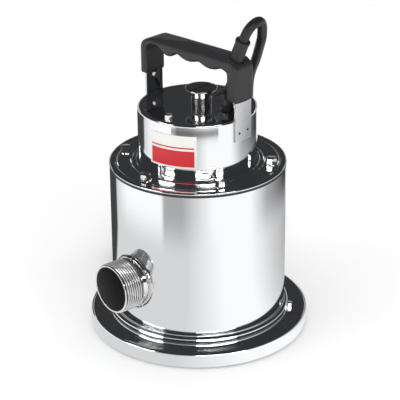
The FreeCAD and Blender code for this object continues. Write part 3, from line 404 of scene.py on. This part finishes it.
def lid_joint_and_painted_shade():
    """Dark joint between the jacket's edge and the lid's rim, which also covers the top 1.2 mm of
    the jacket's outside as painted shade under the rim.
    """
    inner, outer = 71.5, SHELL_R + 0.12
    bottom, top = SHELL_TOP - 1.2, LID_BOTTOM + 0.3
    turned("lid_joint_and_painted_shade", rounded([
        (inner, bottom, 0.0), (outer, bottom, 0.1), (outer, top, 0.1), (inner, top, 0.0),
    ]), "soft_black")


def can():
    """Motor can: a cup with its closed end up and a flange at its foot."""
    obj = turned("can", rounded([
        (CAN_FOOT_R, CAN_FOOT, 0.0),
        (CAN_FOOT_R, CAN_FOOT + SHEET, 0.0),
        (CAN_R, CAN_FOOT + SHEET, 0.8),
        (CAN_R, CAN_TOP - 2.9, 0.0),
        (CAN_R, CAN_TOP, 2.4),
        (CAN_R - 2.9, CAN_TOP, 0.0),
        (0.0, CAN_TOP, 0.0),
        (0.0, CAN_TOP - SHEET, 0.0),
        (CAN_R - SHEET, CAN_TOP - SHEET, 0.9),
        (CAN_R - SHEET, CAN_FOOT, 0.0),
    ]), "polished_steel", segments=240)
    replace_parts(obj, "motor_can")


def pan():
    """Foot cover: a flat ring with a rounded edge and a short skirt."""
    hole = 62.0
    obj = turned("pan", rounded([
        (hole, PAN_TOP - SHEET, 0.0),
        (hole, PAN_TOP, 0.0),
        (PAN_R - 3.6, PAN_TOP, 0.0),
        (PAN_R, PAN_TOP, 3.0),
        (PAN_R, PAN_TOP - 3.6, 0.0),
        (PAN_R, PAN_EDGE, 0.0),
        (PAN_R - SHEET, PAN_EDGE, 0.0),
        (PAN_R - SHEET, PAN_TOP - SHEET, 1.5),
    ]), "polished_steel")
    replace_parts(obj, "base_pan")


# Threads and the outlet
THREAD_STEPS = 9    # points along a thread in one turn


def ridge(phase):
    """Height of a thread's flank, 0 at the root and 1 at the crest, over one turn."""
    wave = abs(2.0 * (phase % 1.0) - 1.0)
    return min(1.0, max(0.0, wave * 1.35 - 0.12))


def threaded_loops(start, stop, crest, depth, pitch, lead_in, columns):
    """For each angle, the thread's outside as (along, radius) from start to stop."""
    steps = int((stop - start) / pitch * THREAD_STEPS)
    loops = []
    for k in range(columns):
        turn = k / columns
        row = []
        for s in range(steps + 1):
            along = start + (stop - start) * s / steps
            fade = min(1.0, (along - start) / lead_in, (stop - along) / (0.6 * lead_in) + 0.15)
            row.append((along, crest - depth + depth * fade * ridge(along / pitch - turn)))
        loops.append(row)
    return loops


def upright_thread(name, slot, x, below, above, **thread):
    """Threaded tube on an upright axis, with (height, radius) points below and above the thread."""
    columns = 96
    loops = []
    for k, row in enumerate(threaded_loops(columns=columns, **thread)):
        angle = 2.0 * math.pi * k / columns
        c, s = math.cos(angle), math.sin(angle)
        loops.append([(x + r * c, r * s, z) for z, r in below + row + above])
    return piece(name, loops, slot, sharp=50.0)


def on_wall(radius, side):
    """Distance from the pump's axis at which a point beside the outlet's axis meets a round wall."""
    return math.sqrt(radius ** 2 - side ** 2)


def outlet():
    """Threaded pipe, with painted shade in its thread roots and bore, and a bright lip and crests.
    """
    columns = 168
    wall = 71.3                     # radius at which the pipe starts, inside the jacket
    roots = OUTLET_THREAD_R - 0.7   # a face of the thread nearer to the axis is in a root
    lip = OUTLET_END - 0.1
    rows = threaded_loops(start=77.0, stop=95.1, crest=OUTLET_THREAD_R, depth=1.3, pitch=2.21,
                          lead_in=1.6, columns=columns)
    loops = []
    for k, row in enumerate(rows):
        angle = 2.0 * math.pi * k / columns
        side, height = math.cos(angle), math.sin(angle)
        profile = [(on_wall(wall, 20.8 * side), OUTLET_PIPE_R), (76.6, OUTLET_PIPE_R)] + row
        profile += [(OUTLET_END, 20.2), (OUTLET_END, 19.1), (lip, OUTLET_BORE_R),
                    (on_wall(wall, OUTLET_BORE_R * side), OUTLET_BORE_R)]
        loops.append([(along, r * side, r * height) for along, r in profile])
    obj = piece("outlet", loops, "outlet_steel", place=OUTLET_PLACE, sharp=50.0)
    obj.data.materials.append(MATERIALS["weld_mark_and_painted_shade"])
    obj.data.materials.append(MATERIALS["thread_crest"])
    back = OUTLET_PLACE.inverted()
    for face in obj.data.polygons:
        middle = (back @ face.center) / MM
        radius = math.hypot(middle.y, middle.z)
        threaded = 77.4 < middle.x < 94.8
        # The bore and the thread roots take the dark steel, as painted shade.
        if radius < OUTLET_BORE_R + 0.02 or (threaded and radius < roots):
            face.material_index = 1
        elif threaded or (middle.x > lip and radius > OUTLET_BORE_R):
            face.material_index = 2
    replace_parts(obj, "discharge_nipple")


def outlet_weld():
    """Slightly uneven bead along the line where the outlet meets the jacket."""
    columns = 240
    steps = 10
    inner, outer, height = 20.6, 23.0, 2.0
    loops = []
    for k in range(columns):
        angle = 2.0 * math.pi * k / columns
        c, s = math.cos(angle), math.sin(angle)
        swell = 1.0 + 0.05 * math.sin(angle * 34.0) + 0.05 * math.sin(angle * 5.0 + 1.0)
        loop = []
        for step in range(steps + 1):
            bend = math.pi / 2.0 * step / steps
            r = inner + (outer - inner) * math.sin(bend) * (0.6 + 0.4 * swell)
            out = height * math.cos(bend) * swell
            loop.append((on_wall(SHELL_R, r * c) + out, r * c, r * s))
        for r in (outer - 0.2, inner):
            loop.append((on_wall(SHELL_R, r * c) - 0.3, r * c, r * s))
        loops.append(loop)
    obj = piece("outlet_weld", loops, "weld_steel", place=OUTLET_PLACE, sharp=60.0)
    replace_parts(obj, "nipple_weld")


# Fasteners and fittings
WASHER = 1.0       # thickness
CHAMFER = 0.577    # tangent of 30 degrees


def hexagon_loops(flats, bottom, top, centre, turn=0.0):
    """Hexagonal head with chamfered corners on top, as upright loops around its axis."""
    columns = 96
    apothem = flats / 2.0
    loops = []
    for k in range(columns):
        angle = 2.0 * math.pi * k / columns
        off = (angle + math.pi / 6.0) % (math.pi / 3.0) - math.pi / 6.0
        reach = apothem / math.cos(off)
        cone = max(0.0, reach - apothem) * CHAMFER + 0.02
        rim = min(reach, apothem * 0.96)
        profile = [(0.0, bottom), (reach, bottom), (reach, top - cone), (rim, top - 0.01),
                   (0.0, top)]
        c = math.cos(angle + math.pi / 6.0 + math.radians(turn))
        s = math.sin(angle + math.pi / 6.0 + math.radians(turn))
        loops.append([(centre[0] + r * c, centre[1] + r * s, z) for r, z in profile])
    return loops


def washer(inner, outer, bottom, edge, centre):
    """Flat washer whose upper edge is rounded."""
    top = bottom + WASHER
    return turned("washer", rounded([
        (inner, bottom, 0.0), (outer, bottom, 0.0), (outer, top, edge), (inner, top, 0.0),
    ], 4), "fastener_steel", centre, 48)


def lid_fasteners():
    """Six hexagon bolts on the lid, each turned its own way, and their washers."""
    circle = 62.0
    flats, height = 8.0, 4.6
    seat = LID_TOP + WASHER
    heads = []
    washers = []
    for k, turn in enumerate((17.0, 48.0, 5.0, 33.0, 22.0, 55.0)):
        angle = math.radians(30.0 + 60.0 * k)
        centre = (circle * math.cos(angle), circle * math.sin(angle))
        loops = hexagon_loops(flats, seat, seat + height, centre, turn)
        heads.append(piece("head", loops, "fastener_steel", sharp=20.0))
        washers.append(washer(2.6, 4.9, LID_TOP, 0.25, centre))
    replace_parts(join("lid_bolt_heads", heads), "lid_bolts")
    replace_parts(join("lid_bolt_washers", washers), "lid_washers")


def bleed():
    """Bleed screw at the front edge of the can's top, on a washer."""
    angle = math.radians(-78.0)
    centre = (44.6 * math.cos(angle), 44.6 * math.sin(angle))
    flats, height = 5.6, 4.2
    seat = CAN_TOP + WASHER
    loops = hexagon_loops(flats, seat, seat + height, centre, 12.0)
    head = piece("head", loops, "fastener_steel", sharp=20.0)
    ring = washer(0.0, 3.1, CAN_TOP, 0.3, centre)
    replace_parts(join("bleed_head", [head, ring]), "bleed_screw")


def band_screw():
    """Small clamp screw on the jacket's bead."""
    flats, height = 5.0, 3.6
    place = Matrix.Rotation(math.radians(35.0), 4, "Z")
    head = hexagon_loops(flats, PAN_TOP, PAN_TOP + height, (SHELL_R + 4.9, 0.0), 10.0)
    piece("band_screw", head, "fastener_steel", place=place, sharp=20.0)


def filler():
    """Threaded neck that the plug closes."""
    top = CAN_TOP + 7.6
    bore = 5.6
    obj = upright_thread("neck_thread", "fastener_steel", 4.5, [(CAN_TOP, 8.2)],
                         [(top, 7.4), (top, bore), (CAN_TOP, bore)],
                         start=CAN_TOP + 0.6, stop=CAN_TOP + 7.4, crest=8.4, depth=0.7, pitch=1.6,
                         lead_in=1.2)
    # The neck takes the darker steel, painted shade.
    obj.data.materials[0] = MATERIALS["neck_steel_painted_dark"]
    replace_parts(obj, "filler_neck")


def gland():
    """Threaded barrel of the cord gland, with its hexagonal flange."""
    x = 34.0
    foot = 190.3
    flange_top, top = CAN_TOP + 3.0, CAN_TOP + 13.2
    bore = 3.4
    barrel = upright_thread("barrel", "gland_black", x, [(foot, 5.4), (flange_top, 5.4)],
                            [(top, 5.2), (top, bore), (foot, bore)],
                            start=flange_top, stop=CAN_TOP + 13.0, crest=6.0, depth=0.6,
                            pitch=1.5, lead_in=1.0)
    loops = hexagon_loops(16.0, CAN_TOP, flange_top, (x, 0.0))
    flange = piece("flange", loops, "gland_black", sharp=20.0)
    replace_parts(join("gland_barrel", [barrel, flange]), "gland_body")


def spot_welds():
    """Two small round marks where the right strap is welded to the can."""
    columns = 24
    profile = [(-0.2, 0.95), (0.05, 0.95), (0.22, 0.6), (0.26, 0.0)]    # (outwards, radius)
    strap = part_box("handle_strap_right")[1][0] / MM
    marks = []
    for azimuth, height in ((-6.2, 185.3), (5.1, 186.2)):
        side = CAN_R * math.tan(math.radians(azimuth))
        loops = []
        for k in range(columns):
            angle = 2.0 * math.pi * k / columns
            c, s = math.cos(angle), math.sin(angle)
            loops.append([(strap + out, side + r * c, height + r * s) for out, r in profile])
        marks.append(piece("mark", loops, "weld_mark_and_painted_shade"))
    join("spot_welds", marks)


def grip():
    """The moulded grip, with its edges rounded on a copy of the node's mesh."""
    source = frame["nodes"]["handle_grip"]
    mesh = source.data.copy()
    mesh.name = "grip"
    mesh.materials.clear()
    obj = dress("grip", mesh, "black_grip")
    obj.matrix_world = source.matrix_world
    for kind, values in (
        ("REMESH", {"mode": "VOXEL", "voxel_size": 0.0007}),
        ("SMOOTH", {"factor": 0.6, "iterations": 9}),
        ("DECIMATE", {"ratio": 0.35}),
    ):
        modifier = obj.modifiers.new(kind.lower(), kind)
        for key, value in values.items():
            setattr(modifier, key, value)
    bpy.context.view_layer.update()
    result = obj.evaluated_get(bpy.context.evaluated_depsgraph_get())
    shape = bpy.data.meshes.new_from_object(result)
    obj.modifiers.clear()
    obj.data = shape
    shape.name = "grip"
    for face in shape.polygons:
        face.use_smooth = True
    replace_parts(obj, "handle_grip")


def label():
    """Plain sticker with no words: a white sheet with a red field and a thin red rule."""
    columns = 72
    margin = 3                                      # white columns at each side
    bottom = 159.0
    heights = [0.0, 1.6, 15.2, 17.0, 18.2, 28.0]    # edges of the bands, from the bottom up
    red_bands = (1, 3)
    radius = CAN_R + 0.25
    first, last = math.radians(-96.5), math.radians(-48.0)
    mesh = bpy.data.meshes.new("sticker")
    bm = bmesh.new()
    rows = []
    for k in range(columns + 1):
        angle = first + (last - first) * k / columns
        x, y = radius * math.cos(angle) * MM, radius * math.sin(angle) * MM
        rows.append([bm.verts.new((x, y, (bottom + h) * MM)) for h in heights])
    for k in range(columns):
        a, b = rows[k], rows[k + 1]
        for j in range(len(heights) - 1):
            face = bm.faces.new((a[j], b[j], b[j + 1], a[j + 1]))
            red = margin <= k < columns - margin and j in red_bands
            face.material_index = 1 if red else 0
            face.smooth = True
    bm.to_mesh(mesh)
    bm.free()
    mesh.materials.append(MATERIALS["label_white"])
    mesh.materials.append(MATERIALS["label_red"])
    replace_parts(dress("sticker", mesh, "label_white"), "name_label")


def dress_frame():
    """Looks for the nodes that stay as the frame has them."""
    for row in frame["record"]["subparts"]:
        obj = frame["nodes"][row["node"]]
        mat = MATERIALS[NODE_LOOKS.get(row["node"], row["material_slot"])]
        if obj.material_slots:
            for entry in obj.material_slots:
                entry.material = mat
        else:
            obj.data.materials.append(mat)


# Floor and light. Polished steel shows what stands around it, so plain cards stand around the
# pump, as in a product studio. Only glossy rays see them.
FLOOR_SIZE = 12.0
FLOOR_GLOW = 0.1
WORLD = (0.036, 0.037, 0.039, 1.0)
STRIP_DISTANCE = 2.5
STRIP_HEIGHT = 1.2

# Cards as (azimuth in degrees, level), upright and on the floor, in four plain levels.
BLACK, GREY, LIGHT, WHITE = 0.06, 0.45, 0.75, 1.1
UPRIGHT = [
    (-166, BLACK), (-162, LIGHT), (-138, WHITE), (-89, WHITE), (-85, GREY), (-65, GREY),
    (-30, WHITE), (15, WHITE), (40, GREY), (84, BLACK), (96, BLACK), (102, WHITE), (138, WHITE),
    (148, BLACK),
]
FLAT = [
    (-166, BLACK), (-162, LIGHT), (-60, LIGHT), (-20, WHITE), (15, WHITE), (50, LIGHT),
    (94, GREY), (138, LIGHT), (148, BLACK),
]
CARD_RISE = 0.05       # height over which the flat cards' levels give way to the upright ones'
CARD_FOOT = 0.0008     # just above the floor
NEAR_R, NEAR_TOP = 0.25, 0.076
FAR_R, FAR_TOP = 0.36, 0.09


def floor():
    """Plain white floor that glows a little, so it stays pale everywhere."""
    bpy.ops.mesh.primitive_plane_add(size=FLOOR_SIZE, location=(0, 0, 0))
    obj = bpy.context.object
    obj.name = "floor"
    mat = material("floor_white", (0.85, 0.85, 0.85), 0.0, 0.8, 0.05, 0.004, 8.0, 0.0)
    bsdf = mat.node_tree.nodes["Principled BSDF"]
    bsdf.inputs["Emission Color"].default_value = (1.0, 1.0, 1.0, 1.0)
    bsdf.inputs["Emission Strength"].default_value = FLOOR_GLOW
    obj.data.materials.append(mat)


def softbox(name, azimuth, size, power):
    """Rectangular strip light that shines level towards the pump's axis."""
    data = bpy.data.lights.new(name, "AREA")
    data.shape = "RECTANGLE"
    data.size, data.size_y = size
    data.energy = power
    obj = bpy.data.objects.new(name, data)
    a = math.radians(azimuth)
    outwards = Vector((math.cos(a), math.sin(a), 0.0))
    obj.location = outwards * STRIP_DISTANCE + Vector((0.0, 0.0, STRIP_HEIGHT))
    obj.rotation_euler = outwards.to_track_quat("Z", "Y").to_euler()
    obj.visible_camera = False
    bpy.context.scene.collection.objects.link(obj)


def overhead(angle, strength):
    """Broad, even light from above, which polished metal doesn't mirror."""
    data = bpy.data.lights.new("overhead", "SUN")
    data.energy = strength
    data.angle = math.radians(angle)
    obj = bpy.data.objects.new("overhead", data)
    obj.visible_glossy = False
    bpy.context.scene.collection.objects.link(obj)


def card_ramp(tree, share, levels):
    """Colour ramp once around the pump. The positions are set before the colours."""
    ramp = tree.nodes.new("ShaderNodeValToRGB")
    stops = ramp.color_ramp.elements
    while len(stops) < len(levels):
        stops.new(0.5)
    for stop, (azimuth, _) in zip(stops, levels):
        stop.position = (azimuth + 180.0) / 360.0
    for stop, (_, level) in zip(stops, levels):
        stop.color = (level, level, level * 1.01, 1.0)
    tree.links.new(share, ramp.inputs["Fac"])
    return ramp.outputs["Color"]


def card_material():
    """Glow that changes around the pump, and from the flat cards' levels to the upright ones'."""
    mat = bpy.data.materials.new("cards")
    mat.use_nodes = True
    tree = mat.node_tree
    tree.nodes.clear()
    place = tree.nodes.new("ShaderNodeTexCoord")
    split = tree.nodes.new("ShaderNodeSeparateXYZ")
    tree.links.new(place.outputs["Object"], split.inputs["Vector"])
    turn = tree.nodes.new("ShaderNodeMath")
    turn.operation = "ARCTAN2"
    tree.links.new(split.outputs["Y"], turn.inputs[0])
    tree.links.new(split.outputs["X"], turn.inputs[1])
    share = tree.nodes.new("ShaderNodeMapRange")
    share.inputs["From Min"].default_value = -math.pi
    share.inputs["From Max"].default_value = math.pi
    tree.links.new(turn.outputs["Value"], share.inputs["Value"])
    rise = tree.nodes.new("ShaderNodeMapRange")
    rise.interpolation_type = "SMOOTHSTEP"
    rise.inputs["From Max"].default_value = CARD_RISE
    tree.links.new(split.outputs["Z"], rise.inputs["Value"])
    mix = tree.nodes.new("ShaderNodeMix")
    mix.data_type = "RGBA"
    tree.links.new(rise.outputs["Result"], mix.inputs["Factor"])
    tree.links.new(card_ramp(tree, share.outputs["Result"], FLAT), mix.inputs["A"])
    tree.links.new(card_ramp(tree, share.outputs["Result"], UPRIGHT), mix.inputs["B"])
    glow = tree.nodes.new("ShaderNodeEmission")
    tree.links.new(mix.outputs["Result"], glow.inputs["Color"])
    out = tree.nodes.new("ShaderNodeOutputMaterial")
    tree.links.new(glow.outputs["Emission"], out.inputs["Surface"])
    return mat


def plain_card(level):
    """Glow of one level."""
    mat = bpy.data.materials.new("plain_card")
    mat.use_nodes = True
    tree = mat.node_tree
    tree.nodes.clear()
    glow = tree.nodes.new("ShaderNodeEmission")
    glow.inputs["Color"].default_value = (level, level, level, 1.0)
    out = tree.nodes.new("ShaderNodeOutputMaterial")
    tree.links.new(glow.outputs["Emission"], out.inputs["Surface"])
    return mat


def card_ring(name, low, high, mat, span=(-180.0, 180.0)):
    """Band between two circles or arcs, each a (radius, height), that only glossy rays see."""
    columns = 144
    mesh = bpy.data.meshes.new(name)
    bm = bmesh.new()
    rows = []
    for k in range(columns + 1):
        angle = math.radians(span[0] + (span[1] - span[0]) * k / columns)
        c, s = math.cos(angle), math.sin(angle)
        rows.append([bm.verts.new((r * c, r * s, z)) for r, z in (low, high)])
    for a, b in zip(rows, rows[1:]):
        bm.faces.new((a[0], b[0], b[1], a[1]))
    bm.to_mesh(mesh)
    bm.free()
    mesh.materials.append(mat)
    obj = bpy.data.objects.new(name, mesh)
    bpy.context.scene.collection.objects.link(obj)
    for ray in ("camera", "diffuse", "shadow", "transmission", "volume_scatter"):
        setattr(obj, "visible_" + ray, False)


def studio():
    """World, cards and lights."""
    scene = bpy.context.scene
    scene.view_settings.view_transform = "Standard"
    world = bpy.data.worlds.new("studio")
    scene.world = world
    world.use_nodes = True
    world.node_tree.nodes["Background"].inputs["Color"].default_value = WORLD
    cards = card_material()
    card_ring("card_near", (NEAR_R, CARD_FOOT), (NEAR_R, NEAR_TOP), cards)
    card_ring("card_far", (FAR_R, 0.001), (FAR_R, FAR_TOP), cards)
    card_ring("card_floor", (0.0945, CARD_FOOT), (NEAR_R, CARD_FOOT), cards)
    card_ring("flag", (0.355, 0.0645), (0.355, 0.071), plain_card(BLACK), (-95.0, -10.0))
    card_ring("back_strip", (1.6, 0.43), (1.6, 0.6), plain_card(WHITE), (85.0, 180.0))
    overhead(angle=150, strength=3.0)
    softbox("left_strip", azimuth=-110, size=(1.5, 0.16), power=13)
    softbox("right_strip", azimuth=-25, size=(2.4, 0.16), power=20)


camera()
mains_cord()
jacket()
lid()
lid_joint_and_painted_shade()
can()
pan()
outlet()
outlet_weld()
lid_fasteners()
bleed()
band_screw()
filler()
gland()
spot_welds()
grip()
label()
dress_frame()
floor()
studio()
